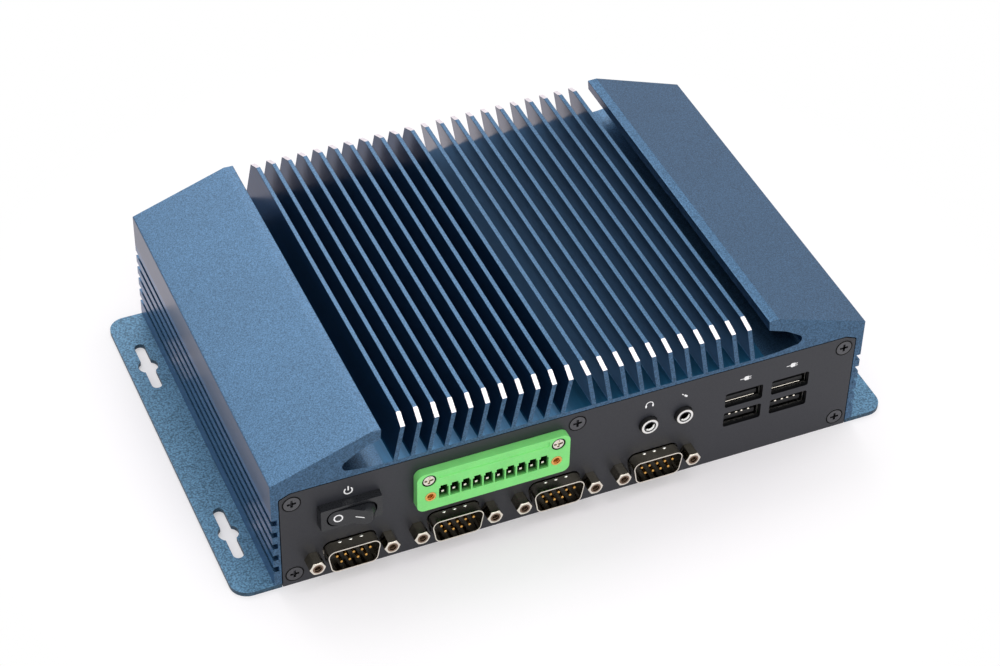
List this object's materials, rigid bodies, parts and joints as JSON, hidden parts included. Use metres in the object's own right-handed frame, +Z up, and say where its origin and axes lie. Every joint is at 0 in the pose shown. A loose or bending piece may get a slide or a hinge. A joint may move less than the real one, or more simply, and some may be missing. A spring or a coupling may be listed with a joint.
{
  "type": "fanless industrial computer",
  "caption": "Fanless industrial computer: finned aluminium housing with a port panel at each end, a rocker power switch and mounting flanges with keyhole slots.",
  "frame": {"origin": "centre of the underside, on the plane it rests on", "axes": "+X to the right seen from the front, +Y from the front panel to the back, +Z up"},
  "size_m": [0.232, 0.1526, 0.0572],
  "materials": {
    "blue_anodised": "fine bead-blasted blue anodising",
    "blue_plate": "fine bead-blasted blue anodising",
    "charcoal_coat": "semi-matte charcoal coating",
    "black_steel": "blackened steel",
    "nickel": "bright nickel plating",
    "dull_steel": "dull plated steel",
    "gold_contact": "gold-plated contacts",
    "brass_insert": "turned brass",
    "black_plastic": "moulded black plastic",
    "switch_plastic": "moulded black plastic with a slight sheen",
    "green_plastic": "moulded green plastic",
    "circuit_board": "solder-masked glass-fibre laminate",
    "bare_aluminium": "milled aluminium",
    "grey_pad": "soft heat-conducting pad"
  },
  "bodies": {
    "chassis": {"audio_jack_1": "black_plastic", "audio_jack_2": "black_plastic", "audio_sleeve_1": "nickel", "audio_sleeve_2": "nickel", "board_screws": "nickel", "board_standoffs": "brass_insert", "bottom_plate": "blue_plate", "bottom_screws": "black_steel", "coin_cell": "dull_steel", "coin_cell_holder": "black_plastic", "com_insulator_1": "black_plastic", "com_insulator_2": "black_plastic", "com_insulator_3": "black_plastic", "com_insulator_4": "black_plastic", "com_pins": "gold_contact", "com_shell_1": "nickel", "com_shell_2": "nickel", "com_shell_3": "nickel", "com_shell_4": "nickel", "dc_inlet": "black_plastic", "dc_inlet_nut": "nickel", "dc_inlet_pin": "nickel", "front_panel": "charcoal_coat", "front_panel_screws": "black_steel", "hdmi_shell": "dull_steel", "hdmi_tongue": "black_plastic", "heat_spreader": "bare_aluminium", "heatsink_housing": "blue_anodised", "io_board": "circuit_board", "jackscrews": "nickel", "lan_port_1": "dull_steel", "lan_port_2": "dull_steel", "main_board": "circuit_board", "memory_module": "circuit_board", "memory_socket": "black_plastic", "mounting_screws": "black_steel", "power_chokes": "black_plastic", "processor": "bare_aluminium", "rear_panel": "charcoal_coat", "rear_panel_screws": "black_steel", "rear_usb_shell": "dull_steel", "rear_usb_tongues": "black_plastic", "solid_state_drive": "black_plastic", "switch_frame": "switch_plastic", "switch_tabs": "nickel", "terminal_header": "green_plastic", "terminal_inserts": "brass_insert", "terminal_pins": "nickel", "terminal_screws": "nickel", "thermal_pad": "grey_pad", "usb_1_shell": "dull_steel", "usb_1_tongues": "black_plastic", "usb_2_shell": "dull_steel", "usb_2_tongues": "black_plastic", "vga_insulator": "black_plastic", "vga_shell": "nickel"},
    "rocker": {"switch_rocker": "switch_plastic"}
  },
  "joints": [
    {"name": "rocker_hinge", "type": "hinge", "parent": "chassis", "child": "rocker", "pos_m": [-0.0777, -0.0712, 0.027], "axis": [0, 0, 1], "range_deg": [0, 37]}
  ]
}
